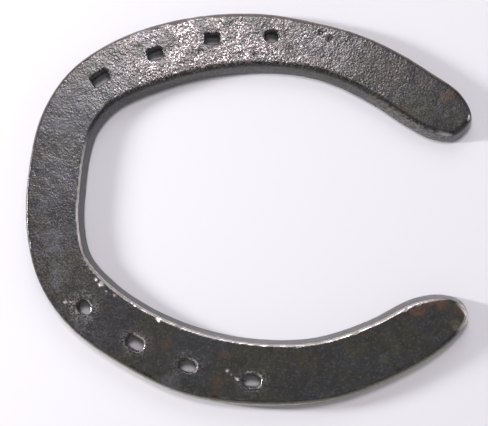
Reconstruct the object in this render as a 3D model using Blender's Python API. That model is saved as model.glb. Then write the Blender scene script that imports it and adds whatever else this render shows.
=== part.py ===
"""Hand-forged steel horseshoe: one bar turned into an open C, with eight nail holes.

Metres, +Z up. The shoe lies flat with its underside on Z = 0. +X runs from the toe to the heels,
and +Y points to the narrower branch. The origin is the middle of the shoe's box, at the underside.
"""

import math

import bmesh
import bpy
from mathutils import Matrix, Vector

MM = 0.001

# Driving dimensions, in millimetres.
THICKNESS = 8.0
OUTLINE_STEPS = 5
HEEL_BLEND_STATIONS = 2
SHARP_ANGLE = 35

# The plan of the bar at its widest level, as pairs of points across it: outer edge, inner edge.
# They run from the heel of the +Y branch round the toe to the heel of the -Y branch. The third
# number of a point is how worn the upper corner is there: 0 is still sharp, 1 is well rounded.
HEEL_TIP_UPPER = (78.0, 30.5, 0.8)
HEEL_TIP_LOWER = (75.6, -35.4, 0.7)
STATIONS = (
    ((76.5, 35.5, 0.7), (76.0, 26.5, 0.8)),
    ((72.5, 41.0, 0.6), (71.5, 23.5, 1.0)),
    ((64.5, 46.5, 0.5), (64.5, 24.0, 1.0)),
    ((52.5, 54.0, 0.4), (55.5, 28.5, 1.0)),
    ((38.5, 60.5, 0.3), (42.5, 37.0, 1.0)),
    ((23.0, 65.0, 0.8), (26.5, 44.5, 1.0)),
    ((5.0, 68.0, 1.0), (8.5, 47.5, 1.0)),
    ((-14.5, 67.5, 1.0), (-9.8, 46.6, 1.0)),
    ((-32.5, 64.0, 1.0), (-28.7, 42.1, 1.0)),
    ((-48.5, 57.5, 0.2), (-45.5, 34.9, 1.0)),
    ((-63.2, 46.8, 0.0), (-52.4, 27.5, 0.6)),
    ((-72.6, 31.4, 0.0), (-55.2, 20.0, 0.1)),
    ((-76.6, 13.0, 0.0), (-57.0, 7.5, 0.0)),
    ((-77.1, -8.0, 0.0), (-57.5, -5.0, 0.0)),
    ((-72.7, -25.9, 0.0), (-55.0, -16.5, 0.1)),
    ((-62.3, -40.8, 0.0), (-46.5, -26.0, 0.1)),
    ((-44.4, -53.8, 0.0), (-33.0, -35.0, 0.0)),
    ((-22.0, -64.3, 0.1), (-15.5, -42.0, 0.0)),
    ((5.0, -68.0, 1.0), (4.0, -45.5, 0.0)),
    ((29.8, -65.9, 1.0), (23.0, -45.0, 0.0)),
    ((50.4, -58.3, 1.0), (41.5, -39.0, 0.0)),
    ((65.7, -49.5, 1.0), (56.5, -31.5, 0.2)),
    ((73.0, -43.0, 0.9), (66.5, -30.0, 0.3)),
    ((75.6, -38.8, 0.8), (73.3, -32.0, 0.3)),
)

# The bar's section, from the underside up. At each height, how far the side stands back from the
# widest plan: the outer side where its corner is sharp and where it is worn, then the inner side.
# The outer side is upright; the inner side leans back as it rises.
SECTION = (
    (0.0, (0.8, 0.8), (0.6, 0.6)),
    (0.3, (0.3, 0.3), (0.2, 0.2)),
    (1.0, (0.0, 0.0), (0.0, 0.0)),
    (4.0, (0.0, 0.0), (0.7, 0.7)),
    (6.8, (0.2, 0.4), (1.35, 1.5)),
    (7.5, (0.35, 0.8), (1.55, 2.0)),
    (THICKNESS, (0.65, 1.5), (2.05, 2.9)),
)

# Nail holes: centre on the upper face, angle of the long side from +X in degrees, length, width,
# corner radius. They were punched by hand, so no two are the same.
NAIL_HOLES = (
    ("upper_1", -52.0, 44.7, 34, 6.4, 4.1, 0.7),
    ("upper_2", -33.0, 53.3, 18, 5.3, 4.1, 1.2),
    ("upper_3", -13.2, 58.5, 4, 5.1, 3.8, 0.7),
    ("upper_4", 7.4, 59.6, -6, 4.2, 4.1, 1.6),
    ("lower_1", -57.1, -34.6, -58, 4.9, 4.2, 1.7),
    ("lower_2", -39.5, -46.8, -30, 6.6, 4.5, 2.0),
    ("lower_3", -21.4, -54.6, -16, 6.2, 4.4, 2.0),
    ("lower_4", 0.6, -59.7, -3, 6.3, 4.4, 1.9),
)
NAIL_HOLE_FOOT_SCALE = 0.92
CORNER_STEPS = 4
CUTTER_OVERHANG = 2.0


def clear_scene():
    for old in list(bpy.data.objects):
        bpy.data.objects.remove(old, do_unlink=True)


def forged_steel():
    """Dark, oiled mill scale over steel."""
    material = bpy.data.materials.new("forged_steel")
    material.use_nodes = True
    shader = material.node_tree.nodes["Principled BSDF"]
    shader.inputs["Base Color"].default_value = (0.075, 0.072, 0.068, 1.0)
    shader.inputs["Metallic"].default_value = 0.85
    shader.inputs["Roughness"].default_value = 0.38
    return material


def spline_span(before, start, end, after, steps):
    """Points from start up to, not including, end on a centripetal Catmull-Rom curve."""
    gap_before = math.sqrt((start - before).length)
    gap = math.sqrt((end - start).length)
    gap_after = math.sqrt((after - end).length)
    slope_start = (start - before) / gap_before - (end - before) / (gap_before + gap) + (end - start) / gap
    slope_end = (end - start) / gap - (after - start) / (gap + gap_after) + (after - end) / gap_after
    slope_start *= gap
    slope_end *= gap
    points = []
    for step in range(steps):
        t = step / steps
        point = (2 * t**3 - 3 * t**2 + 1) * start + (t**3 - 2 * t**2 + t) * slope_start
        point += (-2 * t**3 + 3 * t**2) * end + (t**3 - t**2) * slope_end
        points.append(point)
    return points


def closed_spline(controls, steps):
    count = len(controls)
    points = []
    for index in range(count):
        before = controls[index - 1]
        end = controls[(index + 1) % count]
        after = controls[(index + 2) % count]
        points += spline_span(before, controls[index], end, after, steps)
    return points


def plan_outline():
    """The widest outline, centred on its box, as (x, y, wear). It starts at the +Y heel tip and runs
    over the outer edge to the other heel tip, then back over the inner edge."""
    outer = [Vector(pair[0]) for pair in STATIONS]
    inner = [Vector(pair[1]) for pair in reversed(STATIONS)]
    controls = [Vector(HEEL_TIP_UPPER)] + outer + [Vector(HEEL_TIP_LOWER)] + inner
    points = closed_spline(controls, OUTLINE_STEPS)
    xs = [point.x for point in points]
    ys = [point.y for point in points]
    middle = Vector(((min(xs) + max(xs)) / 2, (min(ys) + max(ys)) / 2, 0.0))
    return [point - middle for point in points]


def inward_normals(outline):
    count = len(outline)
    normals = []
    for index in range(count):
        along = outline[(index + 1) % count] - outline[index - 1]
        normals.append(Vector((-along.y, along.x)).normalized())
    return normals


def inner_share(index, count):
    """0 on the outer edge, 1 on the inner edge, with a smooth change round each heel tip."""
    blend = HEEL_BLEND_STATIONS * OUTLINE_STEPS
    past_lower_tip = index - count / 2
    past_upper_tip = index if index < count / 4 else index - count
    nearest = past_lower_tip if abs(past_lower_tip) < abs(past_upper_tip) else -past_upper_tip
    t = min(max(nearest / blend + 0.5, 0.0), 1.0)
    return t * t * (3 - 2 * t)


def between(start, end, share):
    return start + (end - start) * share


def bar_mesh(outline):
    """The bar as a stack of outlines, one for each level of the section, closed top and bottom."""
    count = len(outline)
    normals = inward_normals(outline)
    mesh = bmesh.new()
    rings = []
    for height, (outer_sharp, outer_worn), (inner_sharp, inner_worn) in SECTION:
        ring = []
        for index in range(count):
            wear = outline[index].z
            outer_back = between(outer_sharp, outer_worn, wear)
            inner_back = between(inner_sharp, inner_worn, wear)
            back = between(outer_back, inner_back, inner_share(index, count))
            point = outline[index].to_2d() + normals[index] * back
            ring.append(mesh.verts.new((point.x * MM, point.y * MM, height * MM)))
        rings.append(ring)
    for lower, upper in zip(rings, rings[1:]):
        for index in range(count):
            after = (index + 1) % count
            mesh.faces.new((lower[index], lower[after], upper[after], upper[index]))
    close_end(mesh, rings[-1], True)
    close_end(mesh, rings[0], False)
    return mesh


def close_end(mesh, ring, faces_up):
    """Strips from the outer to the inner edge, between points that face each other."""
    half = len(ring) // 2
    for index in range(half):
        corners = [ring[index], ring[index + 1], ring[-index - 1], ring[-index]]
        if index == 0:
            corners.pop()
        if index == half - 1:
            corners.pop(1)
        if not faces_up:
            corners.reverse()
        mesh.faces.new(corners)


def rounded_rectangle(length, width, corner):
    points = []
    centres = ((1, 1, 0.0), (-1, 1, 0.5), (-1, -1, 1.0), (1, -1, 1.5))
    for x_side, y_side, start in centres:
        centre = Vector((x_side * (length / 2 - corner), y_side * (width / 2 - corner)))
        for step in range(CORNER_STEPS + 1):
            angle = math.pi * (start + 0.5 * step / CORNER_STEPS)
            points.append(centre + corner * Vector((math.cos(angle), math.sin(angle))))
    return points


def nail_cutter(name, x, y, turn, length, width, corner_radius):
    """A tapered punch, wider at the top, that stands past both faces of the bar."""
    section = rounded_rectangle(length, width, corner_radius)
    slope = (1 - NAIL_HOLE_FOOT_SCALE) / THICKNESS
    heading = Matrix.Rotation(math.radians(turn), 2)
    rings = []
    mesh = bmesh.new()
    for height in (-CUTTER_OVERHANG, THICKNESS + CUTTER_OVERHANG):
        scale = 1 - slope * (THICKNESS - height)
        ring = []
        for corner in section:
            point = Vector((x, y)) + heading @ corner * scale
            ring.append(mesh.verts.new((point.x * MM, point.y * MM, height * MM)))
        rings.append(ring)
    count = len(section)
    for index in range(count):
        after = (index + 1) % count
        mesh.faces.new((rings[0][index], rings[0][after], rings[1][after], rings[1][index]))
    mesh.faces.new(list(reversed(rings[0])))
    mesh.faces.new(rings[1])
    cutter = new_object(name, mesh)
    cutter.hide_render = True
    cutter.display_type = "WIRE"
    return cutter


def new_object(name, mesh):
    data = bpy.data.meshes.new(name)
    mesh.normal_update()
    mesh.to_mesh(data)
    mesh.free()
    thing = bpy.data.objects.new(name, data)
    bpy.context.scene.collection.objects.link(thing)
    return thing


def punch(shoe, cutter):
    cut = shoe.modifiers.new(cutter.name, "BOOLEAN")
    cut.operation = "DIFFERENCE"
    cut.solver = "EXACT"
    cut.object = cutter


def build_shoe():
    outline = plan_outline()
    shoe = new_object("shoe", bar_mesh(outline))
    shoe.data.materials.append(forged_steel())
    shoe.data.shade_smooth()
    shoe.data.set_sharp_from_angle(angle=math.radians(SHARP_ANGLE))
    for number, *place_and_size in NAIL_HOLES:
        punch(shoe, nail_cutter(f"nail_cutter_{number}", *place_and_size))
    return shoe


clear_scene()
build_shoe()
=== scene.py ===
"""Looks of the hand-forged steel horseshoe: its hammered skin, its steel, and a pale studio round it."""

import itertools
from types import SimpleNamespace

import bmesh
import bpy
import numpy as np
from mathutils import Matrix, Vector, kdtree


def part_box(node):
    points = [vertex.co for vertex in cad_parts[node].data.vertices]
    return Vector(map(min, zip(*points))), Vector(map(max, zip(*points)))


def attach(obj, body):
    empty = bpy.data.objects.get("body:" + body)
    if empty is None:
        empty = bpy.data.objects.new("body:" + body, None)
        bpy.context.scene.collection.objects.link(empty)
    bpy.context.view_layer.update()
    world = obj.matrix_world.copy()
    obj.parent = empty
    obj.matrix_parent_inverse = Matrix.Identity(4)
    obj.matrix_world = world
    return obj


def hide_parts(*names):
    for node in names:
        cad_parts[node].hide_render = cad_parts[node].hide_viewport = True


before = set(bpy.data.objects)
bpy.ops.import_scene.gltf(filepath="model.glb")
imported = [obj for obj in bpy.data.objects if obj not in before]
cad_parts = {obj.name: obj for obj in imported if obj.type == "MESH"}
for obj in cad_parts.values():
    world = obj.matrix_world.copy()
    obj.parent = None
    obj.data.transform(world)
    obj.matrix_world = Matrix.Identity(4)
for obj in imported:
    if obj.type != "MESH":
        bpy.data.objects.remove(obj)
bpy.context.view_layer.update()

MM = 0.001
LOW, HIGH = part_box("shoe")
THICKNESS = HIGH.z - LOW.z

# The even mesh that carries the skin.
VOXEL = 0.42 * MM
WELD = 0.001 * MM
UNDERSIDE_HEIGHT = 0.15 * THICKNESS
UNDERSIDE_SHARE = 0.25
RIM_LEVEL = 0.01 * MM
RIM_STEEPNESS = 0.3
RIM_STEPS = 8

# Heights and depths of the skin's relief.
HAMMER_WAVE = 0.09 * MM
RIPPLE = 0.02 * MM
GRAIN = 0.035 * MM
SMALL_PIT = 0.06 * MM
LARGE_PIT = 0.15 * MM
NICK = 0.22 * MM
CORNER_WAVE = 0.04 * MM
RIM_DENT = 0.06 * MM
CHIP = 0.18 * MM
DEEP_PIT = 0.30 * MM
FLARE = 0.8 * MM
BUMP = 0.10 * MM

# Marks of wear and weather on the shoe, and two painted glints, in millimetres: centre, radius, strength.
RUST = (
    (68.2, 39.1, 2.8, 0.55), (60.5, 43.2, 2.6, 0.2), (57.1, -36.2, 3.0, 0.7), (61.5, -33.6, 2.6, 0.45),
    (65.8, -32.8, 3.0, 0.6), (71.4, -35.6, 2.4, 0.5), (-9.4, -51.5, 2.8, 0.25), (-29.4, -46.7, 3.0, 0.35),
    (-10.6, -60.6, 2.2, 0.3), (44.0, 38.5, 2.6, 0.3), (51.0, 32.5, 2.2, 0.3),
)
MOSS = (
    (45.8, -52.9, 2.0, 0.4), (34.4, -50.5, 2.4, 0.3), (37.8, -48.4, 1.8, 0.2), (50.5, -48.5, 2.0, 0.15),
    (70.4, -40.6, 2.2, 0.8), (-12.2, 64.3, 2.2, 0.7), (57.0, 38.5, 4.0, 0.15), (62.0, 34.0, 4.0, 0.15),
    (70.0, 31.0, 3.4, 0.25),
)
PALE = (
    (-27.0, -60.4, 4.0, 0.6), (-68.0, -12.0, 6.0, 0.6), (-66.0, -24.0, 5.0, 0.7), (-58.5, -39.0, 4.0, 0.6),
    (-70.0, 2.0, 4.0, 0.4), (71.0, -41.2, 1.8, 1.0),
)
BLUE = (
    (-60.0, 30.0, 12.0, 0.8), (-50.0, 43.0, 9.0, 0.8), (-67.0, 10.0, 10.0, 0.7), (-68.0, -12.0, 8.0, 0.5),
    (-35.0, 58.0, 5.0, 0.5), (22.0, 57.0, 8.0, 0.5),
)
CHIPS = (
    (-53.1, -24.9, 0.9, 0.7), (-51.3, -26.8, 0.9, 0.75), (-49.6, -28.3, 1.2, 0.9), (-46.6, -30.3, 1.1, 0.9),
    (-40.5, -33.8, 1.0, 1.0), (-31.6, -38.6, 1.0, 0.9), (-4.4, -58.8, 0.7, 0.7), (-8.0, -56.3, 0.6, 0.5),
    (-7.2, -57.6, 0.6, 0.5), (-63.4, -32.7, 0.7, 0.5), (-22.5, -47.7, 0.5, 0.5), (-11.0, -45.0, 0.9, 1.0),
)
# Painted highlights: glints at both heel tips.
GLINTS = ((75.4, 31.2, 1.3, 1.0), (74.0, -34.0, 1.3, 1.0))
DEEP_PITS = ((24.7, 60.9, 1.1, 1.0), (27.5, 58.5, 0.9, 0.8), (1.6, 53.3, 0.9, 0.9), (-17.5, 54.0, 1.3, 0.5))
STAIN_RAGGEDNESS = 2.4
DENT_RAGGEDNESS = 0.9

# The stains, from the bottom up: name, places, seed, colour.
STAINS = (
    ("blue", BLUE, 161, (0.026, 0.033, 0.052, 1)),
    ("pale", PALE, 141, (0.088, 0.093, 0.108, 1)),
    ("moss", MOSS, 131, (0.080, 0.080, 0.032, 1)),
    ("rust", RUST, 121, (0.12, 0.048, 0.022, 1)),
)

# Mill scale, from the bottom up: the noise's scale per millimetre, detail and roughness, the range of
# it that counts, the layer's share at both ends of that range, and the layer's colour.
SCALE_LAYERS = (
    (0.13, 5.0, 0.65, (0.54, 0.70), (0.0, 0.6), (0.038, 0.020, 0.012, 1)),
    (0.30, 5.0, 0.7, (0.36, 0.60), (0.75, 0.0), (0.008, 0.007, 0.006, 1)),
    (0.45, 4.0, 0.7, (0.56, 0.72), (0.0, 0.6), (0.055, 0.058, 0.066, 1)),
    (1.1, 3.0, 0.7, (0.52, 0.68), (0.0, 0.5), (0.070, 0.071, 0.074, 1)),
)
BLUE_GREY_SCALE = (0.015, 0.016, 0.020, 1)
OLIVE_SCALE = (0.021, 0.019, 0.011, 1)
PIT_DIRT_AND_PAINTED_SHADE = (0.012, 0.011, 0.010, 1)
SCUFFED_WALL = (0.15, 0.14, 0.13, 1)
# Bevel colour: partly rust brown, partly painted light.
BEVEL_BROWN_AND_PAINTED_LIGHT = (0.135, 0.105, 0.10, 1)
BARE_STEEL = (0.36, 0.315, 0.325, 1)
# Polished steel for real chips and a scratch, and the colour of the painted highlights on corners, rims, a
# crest and glints.
POLISHED_STEEL_AND_PAINTED_HIGHLIGHT = (0.82, 0.77, 0.745, 1)
# Painted reflection of the white floor on the -Y branch's flared outer wall, darker at the top and pale
# near the foot.
PAINTED_REFLECTION_TOP = (0.27, 0.24, 0.185, 1)
PAINTED_REFLECTION_FOOT = (0.84, 0.76, 0.60, 1)

# The studio, in metres and watts. A softbox: name, place, width, height, power, colour.
FLOOR_SIZE = 3.0
FLOOR_COLOUR = (0.81, 0.80, 0.85, 1)
AIR_COLOUR = (1.0, 0.98, 1.0, 1)
CEILING_LIGHT = 0.14
WALL_LIGHT = 0.48
WHITE = (1.0, 1.0, 1.0)
WARM_WHITE = (1.0, 0.93, 0.955)
SOFTBOXES = (
    ("high_softbox", (-0.17, 0.79, 2.45), 0.54, 0.54, 23.0, WARM_WHITE),
    ("ceiling_panel", (0.0, 0.0, 2.0), 1.6, 1.6, 3.1, WHITE),
    ("window", (0.0, 0.55, 0.55), 0.40, 0.40, 1.1, WHITE),
    ("left_softbox", (-0.65, 0.06, 0.32), 0.07, 0.21, 4.4, WHITE),
    ("right_softbox", (0.50, 0.12, 0.36), 0.26, 0.26, 0.25, WHITE),
)

CAMERA_TARGET = Vector((-2.16 * MM, -2.23 * MM, HIGH.z))
CAMERA_LEAN = Vector((-0.0045, -0.0729, 0.9973))
CAMERA_DISTANCE = 0.533
CAMERA_LENS = 114
CAMERA_SENSOR = 36


# ---------------------------------------------------------------- noise

def smooth_noise(points, size, seed):
    """Smooth random values between -1 and 1, on a lattice of the given size in metres."""
    cells = points / size
    base = np.floor(cells).astype(int)
    part = cells - base
    part = part * part * (3 - 2 * part)
    index = base - base.min(axis=0)
    lattice = np.random.default_rng(seed).uniform(-1, 1, index.max(axis=0) + 2)
    total = np.zeros(len(points))
    for corner in itertools.product((0, 1), repeat=3):
        share = np.prod(np.where(corner, part, 1 - part), axis=1)
        total += share * lattice[tuple((index + corner).T)]
    return total


def layered_noise(points, size, seed, layers):
    total = np.zeros(len(points))
    for layer in range(layers):
        total += smooth_noise(points, size / 2**layer, seed + layer) / 2**layer
    return total


def ramp(values, start, end):
    """0 before start, 1 after end, smooth between them."""
    t = np.clip((values - start) / (end - start), 0, 1)
    return t * t * (3 - 2 * t)


def ramp_mm(values, start, end):
    """The same, from start to end in millimetres."""
    return ramp(values, start * MM, end * MM)


def pits(points, spacing, radius, seed):
    """How deep a point lies in the nearest of some scattered round pits: 0 outside, 1 in the middle."""
    cells = points / spacing
    base = np.floor(cells).astype(int)
    index = base - base.min(axis=0) + 1
    shape = tuple(index.max(axis=0) + 2)
    rng = np.random.default_rng(seed)
    offsets = rng.uniform(0, 1, shape + (3,))
    sizes = rng.uniform(0.0, 1.0, shape) ** 2
    depth = np.zeros(len(points))
    for step in itertools.product((-1, 0, 1), repeat=3):
        near = tuple((index + step).T)
        centres = base + step + offsets[near]
        reach = radius * (0.35 + 0.65 * sizes[near]) / spacing
        distance = np.linalg.norm(cells - centres, axis=1)
        depth = np.maximum(depth, (1 - ramp(distance / reach, 0.2, 1.0)) * (0.4 + 0.6 * sizes[near]))
    return depth


def marks(points, places, seed, raggedness):
    """How strongly each point is covered by some ragged round marks."""
    ragged = 0.45 * layered_noise(points, raggedness * MM, seed, layers=3)
    covered = np.zeros(len(points))
    for x, y, radius, strength in places:
        distance = np.hypot(points[:, 0] - x * MM, points[:, 1] - y * MM) / (radius * MM)
        covered = np.maximum(covered, strength * (1 - ramp(distance + ragged, 0.35, 1.1)))
    return covered


# ---------------------------------------------------------------- mesh helpers

def remeshed_copy(node, name):
    """An even, fine mesh over a CAD node's shape."""
    rough = bpy.data.meshes.new(name + "_rough")
    joined = welded(node)
    joined.to_mesh(rough)
    joined.free()
    source = bpy.data.objects.new(name + "_source", rough)
    bpy.context.scene.collection.objects.link(source)
    remesh = source.modifiers.new("even", "REMESH")
    remesh.mode = "VOXEL"
    remesh.voxel_size = VOXEL
    mesh = evaluated_mesh(source)
    bpy.data.objects.remove(source, do_unlink=True)
    piece = bpy.data.objects.new(name, mesh)
    bpy.context.scene.collection.objects.link(piece)
    thin_underside(piece)
    piece.data.name = name
    return piece


def welded(node):
    """The node's mesh without doubled points, as a bmesh."""
    solid = bmesh.new()
    solid.from_mesh(node.data)
    bmesh.ops.remove_doubles(solid, verts=solid.verts, dist=WELD)
    return solid


def evaluated_mesh(piece):
    """A new mesh of the piece with its modifiers applied."""
    graph = bpy.context.evaluated_depsgraph_get()
    return bpy.data.meshes.new_from_object(piece.evaluated_get(graph), depsgraph=graph)


def thin_underside(piece):
    """Fewer faces on the flat underside."""
    low = read_points(piece.data)[:, 2] < LOW.z + UNDERSIDE_HEIGHT
    group = piece.vertex_groups.new(name="underside")
    group.add([int(index) for index in np.flatnonzero(low)], 1.0, "REPLACE")
    thin = piece.modifiers.new("thin", "DECIMATE")
    thin.ratio = 1 - float(low.mean()) * (1 - UNDERSIDE_SHARE)
    thin.vertex_group = group.name
    piece.data = evaluated_mesh(piece)
    piece.modifiers.clear()
    piece.vertex_groups.clear()


def read_points(mesh):
    points = np.empty(len(mesh.vertices) * 3)
    mesh.vertices.foreach_get("co", points)
    return points.reshape(-1, 3)


def read_normals(mesh):
    normals = np.empty(len(mesh.vertices) * 3)
    mesh.vertices.foreach_get("normal", normals)
    return normals.reshape(-1, 3)


def read_edges(mesh):
    edges = np.empty(len(mesh.edges) * 2, int)
    mesh.edges.foreach_get("vertices", edges)
    return edges.reshape(-1, 2)


def write_points(mesh, points):
    mesh.vertices.foreach_set("co", points.ravel())
    mesh.update()


def spread(values, edges, rounds):
    """Each value moves halfway to the middle of its neighbours' values, a number of times."""
    count = len(values)
    neighbours = np.bincount(edges.ravel(), minlength=count)
    flat = values.reshape(count, -1)
    for _ in range(rounds):
        total = np.empty_like(flat)
        for column in range(flat.shape[1]):
            sums = np.bincount(edges[:, 0], flat[edges[:, 1], column], count)
            sums += np.bincount(edges[:, 1], flat[edges[:, 0], column], count)
            total[:, column] = sums / neighbours
        flat = 0.5 * flat + 0.5 * total
    return flat.reshape(values.shape)


def store(mesh, name, values):
    attribute = mesh.attributes.new(name, "FLOAT", "POINT")
    attribute.data.foreach_set("value", values.astype(np.float32))


def hole_rims(node):
    """Close points along the rims of the nail holes on the upper face of the CAD solid."""
    solid = welded(node)
    rims = []
    for edge in solid.edges:
        start, end = (vertex.co.copy() for vertex in edge.verts)
        if min(start.z, end.z) < HIGH.z - RIM_LEVEL:
            continue
        if min(abs(face.normal.z) for face in edge.link_faces) < RIM_STEEPNESS:
            rims += [start.lerp(end, step / RIM_STEPS) for step in range(RIM_STEPS)]
    solid.free()
    return rims


def nearest(points, targets):
    """Distance from each point to the nearest of some targets."""
    tree = kdtree.KDTree(len(targets))
    for index, target in enumerate(targets):
        tree.insert(target, index)
    tree.balance()
    return np.array([tree.find(point)[2] for point in points])


# ---------------------------------------------------------------- the forged skin

def forge_skin(piece):
    """Hammer marks, scale pits, worn and nicked edges and punched rims, as real shape."""
    mesh = piece.data
    at = survey(mesh)
    add_damage(at)
    moved = at.points + at.normals * relief(at)[:, None]
    moved[:, 2] = np.maximum(moved[:, 2], LOW.z)
    write_points(mesh, moved)
    mesh.shade_smooth()
    store_wear_and_painted_light(mesh, at)
    store_dirt_and_painted_shade(mesh, at)


def survey(mesh):
    """Smooths the mesh, and says where on the shoe each of its points lies. Apart from places,
    distances and normals, the values are shares: 0 is not at all, 1 is fully."""
    edges = read_edges(mesh)
    cast = read_points(mesh)
    at = SimpleNamespace()
    at.to_rim = nearest(cast, hole_rims(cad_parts["shoe"]))
    crisp = 1 - ramp_mm(at.to_rim, 0.4, 1.0)
    at.points = spread(cast, edges, rounds=2)
    at.points += (cast - at.points) * crisp[:, None]
    write_points(mesh, at.points)
    at.normals = spread(read_normals(mesh), edges, rounds=1)
    at.normals /= np.linalg.norm(at.normals, axis=1)[:, None]
    at.x, at.y, at.z = at.points.T
    at.rise = at.normals[:, 2]

    broad = spread(at.points, edges, rounds=10)
    ridge = ((at.points - broad) * at.normals).sum(axis=1)
    at.corner = ramp_mm(ridge, 0.03, 0.12)
    at.face = ramp(np.abs(at.rise), 0.6, 0.95)
    at.high = ramp(at.z, 0.75 * THICKNESS, 0.9 * THICKNESS)
    at.lower_branch = 1 - ramp_mm(at.y, 10, 30)

    outward = at.points[:, :2] / np.linalg.norm(at.points[:, :2], axis=1)[:, None]
    facing = (at.normals[:, :2] * outward).sum(axis=1)
    at.faces_in = ramp(-facing, 0.1, 0.35)
    at.faces_out = ramp(facing, 0.2, 0.45)
    at.inner_corner = at.corner * at.faces_in * at.high * ramp_mm(at.to_rim, 0.8, 1.6)
    at.grain = grain_share(at)
    return at


def grain_share(at):
    """The skin is roughest on the +Y branch, and smoothest at the heels and on the -Y branch."""
    upper_branch = ramp_mm(at.y, 5, 45)
    heel = ramp_mm(at.x, -10, 62)
    toe = ramp_mm(-at.x, 32, 63)
    near_hole = 1 - ramp_mm(at.to_rim, 0.8, 4.5)
    grain = 0.15 + 0.85 * upper_branch * (1 - 0.6 * heel) * (1 - 0.7 * toe)
    grain += 0.35 * toe * (1 - upper_branch) + 0.4 * at.lower_branch * near_hole
    return np.clip(grain, 0, 1)


def add_damage(at):
    """Pits, nicks, chips and dented rims, and the flared foot of the -Y branch's outer side."""
    points = at.points
    at.small_pit = pits(points, spacing=2.1 * MM, radius=0.8 * MM, seed=31) * at.grain
    at.large_pit = pits(points, spacing=9.0 * MM, radius=1.4 * MM, seed=41) * ramp(at.grain, 0.5, 0.9)
    at.large_pit *= at.face
    at.deep_pit = marks(points, DEEP_PITS, 91, DENT_RAGGEDNESS) * at.face * at.high
    at.nick = at.corner * at.high * ramp(layered_noise(points, 4.0 * MM, 51, layers=3), 0.35, 1.0)
    at.chip = marks(points, CHIPS, 81, DENT_RAGGEDNESS) * at.high
    at.chip_noise = smooth_noise(points, 0.9 * MM, 82)
    at.near_rim = 1 - ramp_mm(at.to_rim, 0.0, 0.6)
    at.flare = at.faces_out * ramp_mm(-at.y, 28, 44) * (1 - ramp_mm(at.x, 60, 74))


def relief(at):
    """How far each point stands out of the smooth bar, from hammer waves down to single chips."""
    points = at.points
    lift = HAMMER_WAVE * smooth_noise(points, 19 * MM, 1)
    lift += RIPPLE * layered_noise(points, 6 * MM, 11, layers=2)
    lift += GRAIN * layered_noise(points, 2.6 * MM, 21, layers=3) * at.grain
    lift -= SMALL_PIT * at.small_pit
    lift -= LARGE_PIT * at.large_pit
    lift -= NICK * at.nick
    lift += CORNER_WAVE * at.corner * smooth_noise(points, 2.5 * MM, 61)
    lift -= RIM_DENT * at.near_rim * (0.5 + 0.5 * smooth_noise(points, 2.0 * MM, 71))
    lift += FLARE * at.flare * (1 - 0.8 * at.z / THICKNESS)
    lift -= CHIP * at.chip * (0.4 + 0.6 * at.chip_noise)
    lift -= DEEP_PIT * at.deep_pit
    return lift


def heel_scratch(at):
    """A short bright stretch of the inner corner near the heel of the +Y branch."""
    upper_corner = at.inner_corner * (1 - at.lower_branch)
    return upper_corner * ramp_mm(at.x, 64, 67) * (1 - ramp_mm(at.x, 70, 73))


def store_wear_and_painted_light(mesh, at):
    """Bare wear and painted light. Chips and a short scratch are bare metal; the -Y branch's inner corner,
    hole rims facing -X, broken dashes on the +Y outer edge, the -Y heel tip and two glints are painted
    highlights. The bevel is painted lighter on the side that faces the lamps, and the -Y branch's flared
    outer wall gets a painted reflection of the floor.
    """
    points = at.points
    tilted = 1 - ramp(at.rise, 0.96, 0.995)
    # The bevel band is kept where y is above about -35 mm, the side that faces the lamps; its colour is
    # partly rust brown and partly painted light.
    bevel = at.faces_out * at.high * tilted * ramp(at.rise, 0.1, 0.35) * ramp_mm(at.y, -35, 0)
    # Painted highlight: broken bright dashes along the +Y branch's outer edge, where it faces the lamps.
    crest = 4 * bevel * (1 - bevel) * ramp_mm(at.y, 54, 60)
    crest *= ramp(smooth_noise(points, 3.0 * MM, 101), 0.0, 0.3) * (1 - ramp_mm(at.x, -18, -12))
    # Painted highlight: a beaded bright line along the -Y branch's inner corner, which faces the main lamp.
    beads = 0.65 + 0.35 * smooth_noise(points, 1.6 * MM, 111)
    beads *= ramp(at.inner_corner, 0.1, 0.8) * at.lower_branch
    # Painted highlight on the -Y branch's hole rims that face -X, toward the left lamp.
    rim = at.near_rim * ramp(-at.normals[:, 0], 0.12, 0.35) * at.lower_branch
    # Painted highlight along the corner of the -Y heel tip.
    heel_tip = at.corner * at.high * at.lower_branch * ramp_mm(at.x, 70, 75)
    # Painted glints at both heel tips.
    glint = marks(points, GLINTS, 151, DENT_RAGGEDNESS) * at.high * tilted
    chip = at.chip * ramp(at.chip_noise, -0.1, 0.4)
    # Real wear (chips and the scratch) and painted highlights share one mask and one polished-steel colour.
    wear_and_painted_highlight = np.max([beads, rim, crest, heel_tip, glint, heel_scratch(at), chip], axis=0)
    store(mesh, "wear_and_painted_highlight", wear_and_painted_highlight)
    store(mesh, "bevel", bevel * (1 - ramp_mm(at.x, 64, 72)))
    # Painted reflection of the white floor on the -Y branch's flared outer wall.
    store(mesh, "painted_floor_reflection", at.flare * (1 - ramp(at.rise, 0.70, 0.92)))
    store(mesh, "foot", 1 - ramp(at.z, 0.15 * THICKNESS, 0.95 * THICKNESS))


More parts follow.
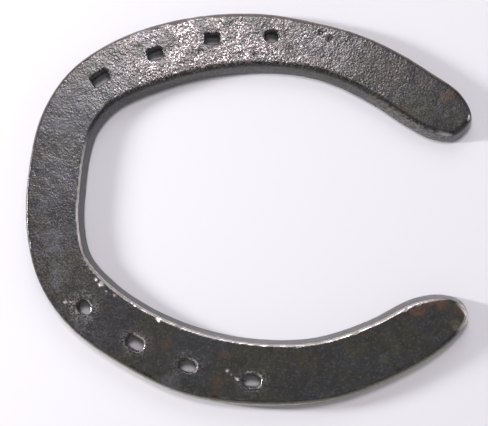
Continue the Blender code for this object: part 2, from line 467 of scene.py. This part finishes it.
def store_dirt_and_painted_shade(mesh, at):
    """Where the skin is rough or scuffed, where dirt and stains lie, and where shade is painted on the +Y
    branch's inner corner and on hole rims facing +Y.
    """
    scuffed = 0.3 + 0.7 * ramp_mm(at.x, 30, 55) * (1 - at.lower_branch)
    # Painted shade: a dark line along the +Y branch's inner corner, which faces away from the lamps.
    painted_corner_shade = 0.8 * (at.inner_corner * (1 - at.lower_branch) - heel_scratch(at))
    # Painted shade on the hole rims' faces that face +Y, toward the lamps.
    painted_rim_shade = 0.9 * at.near_rim * ramp(at.normals[:, 1], 0.0, 0.2) * at.high
    store(mesh, "grain", at.grain * (0.25 + 0.75 * at.face))
    store(mesh, "wall", (1 - at.face) * at.faces_in * scuffed)
    # Dirt in the pits, together with the painted shade on the +Y inner corner and on the hole rims.
    store(mesh, "pit_dirt_and_painted_shade", np.max([at.small_pit, at.large_pit, at.deep_pit, painted_corner_shade, painted_rim_shade], axis=0))
    for name, places, seed, _ in STAINS:
        store(mesh, name, marks(at.points, places, seed, STAIN_RAGGEDNESS))


# ---------------------------------------------------------------- material

def node(tree, kind, **settings):
    made = tree.nodes.new(kind)
    for name, value in settings.items():
        setattr(made, name, value)
    return made


def link(tree, source, target):
    tree.links.new(source, target)


def attribute(tree, name):
    return node(tree, "ShaderNodeAttribute", attribute_name=name).outputs["Fac"]


def coordinates(tree):
    """Place on the shoe, in millimetres."""
    place = node(tree, "ShaderNodeTexCoord")
    scale = node(tree, "ShaderNodeVectorMath", operation="SCALE")
    scale.inputs["Scale"].default_value = 1 / MM
    link(tree, place.outputs["Object"], scale.inputs[0])
    return scale.outputs[0]


def noise_texture(tree, place, scale, detail, roughness):
    texture = node(tree, "ShaderNodeTexNoise")
    texture.inputs["Scale"].default_value = scale
    texture.inputs["Detail"].default_value = detail
    texture.inputs["Roughness"].default_value = roughness
    link(tree, place, texture.inputs["Vector"])
    return texture.outputs["Fac"]


def remap(tree, value, from_range, to_range=(0.0, 1.0)):
    """A smooth step from one range to another."""
    step = node(tree, "ShaderNodeMapRange", interpolation_type="SMOOTHSTEP")
    step.inputs["From Min"].default_value, step.inputs["From Max"].default_value = from_range
    step.inputs["To Min"].default_value, step.inputs["To Max"].default_value = to_range
    link(tree, value, step.inputs["Value"])
    return step.outputs["Result"]


def math_node(tree, operation, first, second):
    made = node(tree, "ShaderNodeMath", operation=operation, use_clamp=True)
    link(tree, first, made.inputs[0])
    link(tree, second, made.inputs[1])
    return made.outputs[0]


def one_minus(tree, value):
    made = node(tree, "ShaderNodeMath", operation="SUBTRACT")
    made.inputs[0].default_value = 1.0
    link(tree, value, made.inputs[1])
    return made.outputs[0]


def mix_colour(tree, share, first, second):
    made = node(tree, "ShaderNodeMix", data_type="RGBA")
    link(tree, share, made.inputs["Factor"])
    for socket, value in ((made.inputs[6], first), (made.inputs[7], second)):
        if isinstance(value, tuple):
            socket.default_value = value
        else:
            link(tree, value, socket)
    return made.outputs[2]


def scale_colour(tree, place, blotch):
    """Mill scale in olive and blue-grey, with brown, dark and pale patches, and the stains on it."""
    tint = noise_texture(tree, place, 0.07, 4.0, 0.6)
    colour = mix_colour(tree, remap(tree, tint, (0.42, 0.58)), BLUE_GREY_SCALE, OLIVE_SCALE)
    for scale, detail, roughness, noise_range, share_range, tone in SCALE_LAYERS:
        noise = noise_texture(tree, place, scale, detail, roughness)
        colour = mix_colour(tree, remap(tree, noise, noise_range, share_range), colour, tone)
    blotchy = remap(tree, blotch, (0.36, 0.60), (0.2, 1.0))
    for name, _, _, tone in STAINS:
        share = math_node(tree, "MULTIPLY", attribute(tree, name), blotchy)
        colour = mix_colour(tree, share, colour, tone)
    return colour


def bare_flecks_and_highlights(tree, place, grain, dark):
    """Flecks of bare steel between the dark specks of the rough skin, plus the bare wear and the painted
    highlights.
    """
    fleck = noise_texture(tree, place, 1.6, 2.0, 0.6)
    broad = noise_texture(tree, place, 0.16, 3.0, 0.6)
    bare = math_node(tree, "MULTIPLY", remap(tree, fleck, (0.46, 0.62), (0.0, 0.75)), grain)
    bare = math_node(tree, "MULTIPLY", bare, grain)
    bare = math_node(tree, "MULTIPLY", bare, remap(tree, broad, (0.36, 0.56), (0.15, 1.0)))
    bare = math_node(tree, "MULTIPLY", bare, one_minus(tree, dark))
    bare = math_node(tree, "MULTIPLY", bare, one_minus(tree, attribute(tree, "bevel")))
    return math_node(tree, "MAXIMUM", bare, attribute(tree, "wear_and_painted_highlight"))


def forged_steel():
    """Dark mill scale over steel, with stains, bare worn chips, painted highlights and shade on corners and
    rims, a painted floor reflection on the -Y branch's outer wall, and an oily gloss.
    """
    material = bpy.data.materials.new("forged_steel_skin")
    material.use_nodes = True
    tree = material.node_tree
    shader = tree.nodes["Principled BSDF"]
    place = coordinates(tree)
    grain = attribute(tree, "grain")

    blotch = noise_texture(tree, place, 0.8, 4.0, 0.7)
    colour = scale_colour(tree, place, blotch)
    speckle = noise_texture(tree, place, 1.45, 1.5, 0.55)
    dark = math_node(tree, "MULTIPLY", remap(tree, speckle, (0.33, 0.45), (1.0, 0.0)), grain)
    # Dark specks and pit dirt, together with the painted shade on the +Y inner corner and the hole rims.
    dark = math_node(tree, "MAXIMUM", dark, attribute(tree, "pit_dirt_and_painted_shade"))
    colour = mix_colour(tree, dark, colour, PIT_DIRT_AND_PAINTED_SHADE)
    mottle = noise_texture(tree, place, 0.9, 3.0, 0.65)
    scuffed = math_node(tree, "MULTIPLY", remap(tree, mottle, (0.40, 0.62)), attribute(tree, "wall"))
    colour = mix_colour(tree, scuffed, colour, SCUFFED_WALL)
    # Reddish-brown bevel, painted lighter than the scale where it faces the lamps: partly rust colour,
    # partly painted light.
    colour = mix_colour(tree, attribute(tree, "bevel"), colour, BEVEL_BROWN_AND_PAINTED_LIGHT)

    bare = bare_flecks_and_highlights(tree, place, grain, dark)
    colour = mix_colour(tree, bare, colour, BARE_STEEL)
    # Polished steel on the chips and scratch, and as painted highlight on corners, rims, the crest and the
    # glints.
    colour = mix_colour(tree, attribute(tree, "wear_and_painted_highlight"), colour, POLISHED_STEEL_AND_PAINTED_HIGHLIGHT)
    # Painted reflection of the white floor on the -Y branch's flared outer wall: metallic, darker at the
    # top and pale towards the foot.
    reflection_share = remap(tree, blotch, (0.36, 0.60), (0.25, 0.60))
    side = math_node(tree, "MULTIPLY", attribute(tree, "painted_floor_reflection"), reflection_share)
    reflection_tone = mix_colour(tree, attribute(tree, "foot"), PAINTED_REFLECTION_TOP, PAINTED_REFLECTION_FOOT)
    link(tree, mix_colour(tree, side, colour, reflection_tone), shader.inputs["Base Color"])
    metal = math_node(tree, "MAXIMUM", bare, side)
    link(tree, remap(tree, metal, (0.0, 1.0), (0.1, 1.0)), shader.inputs["Metallic"])

    gloss = noise_texture(tree, place, 0.35, 3.0, 0.5)
    link(tree, remap(tree, gloss, (0.3, 0.7), (0.19, 0.25)), shader.inputs["Roughness"])
    bump = node(tree, "ShaderNodeBump")
    bump.inputs["Strength"].default_value = 1.0
    bump.inputs["Distance"].default_value = BUMP
    height = math_node(tree, "MULTIPLY", speckle, remap(tree, grain, (0.0, 1.0), (0.22, 1.0)))
    link(tree, height, bump.inputs["Height"])
    link(tree, bump.outputs["Normal"], shader.inputs["Normal"])
    return material


# ---------------------------------------------------------------- stage, lights and camera

def white_floor():
    bpy.ops.mesh.primitive_plane_add(size=FLOOR_SIZE, location=(0, 0, LOW.z))
    floor = bpy.context.object
    floor.name = "floor"
    material = bpy.data.materials.new("white_paper")
    material.use_nodes = True
    shader = material.node_tree.nodes["Principled BSDF"]
    shader.inputs["Base Color"].default_value = FLOOR_COLOUR
    shader.inputs["Roughness"].default_value = 0.8
    shader.inputs["Specular IOR Level"].default_value = 0.1
    floor.data.materials.append(material)


def studio_world():
    """A dim ceiling over brighter walls."""
    world = bpy.data.worlds.new("studio")
    world.use_nodes = True
    tree = world.node_tree
    tree.nodes["Background"].inputs["Color"].default_value = AIR_COLOUR
    direction = node(tree, "ShaderNodeTexCoord").outputs["Generated"]
    parts = node(tree, "ShaderNodeSeparateXYZ")
    link(tree, direction, parts.inputs[0])
    strength = remap(tree, parts.outputs["Z"], (0.0, 1.0), (WALL_LIGHT, CEILING_LIGHT))
    link(tree, strength, tree.nodes["Background"].inputs["Strength"])
    bpy.context.scene.world = world


def softbox(name, place, width, height, power, colour):
    """An oval lamp that faces the shoe."""
    data = bpy.data.lights.new(name, "AREA")
    data.shape = "ELLIPSE"
    data.size = width
    data.size_y = height
    data.energy = power
    data.color = colour
    light = bpy.data.objects.new(name, data)
    bpy.context.scene.collection.objects.link(light)
    light.location = place
    light.rotation_euler = (-Vector(place)).to_track_quat("-Z", "Y").to_euler()


def main_camera():
    """Almost straight above the shoe, leaning back a little towards -Y."""
    lean = CAMERA_LEAN.normalized()
    right = Vector((0, 1, 0)).cross(lean).normalized()
    up = lean.cross(right)
    data = bpy.data.cameras.new("camera")
    data.sensor_width = CAMERA_SENSOR
    data.lens = CAMERA_LENS
    data.clip_start = 0.02
    camera = bpy.data.objects.new("camera", data)
    bpy.context.scene.collection.objects.link(camera)
    turn = Matrix((right, up, lean)).transposed().to_4x4()
    camera.matrix_world = Matrix.Translation(CAMERA_TARGET + lean * CAMERA_DISTANCE) @ turn
    bpy.context.scene.camera = camera


shoe = remeshed_copy(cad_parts["shoe"], "forged_shoe")
forge_skin(shoe)
shoe.data.materials.append(forged_steel())
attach(shoe, "root")
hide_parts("shoe")

white_floor()
studio_world()
for box in SOFTBOXES:
    softbox(*box)
main_camera()
bpy.context.scene.view_settings.view_transform = "Standard"
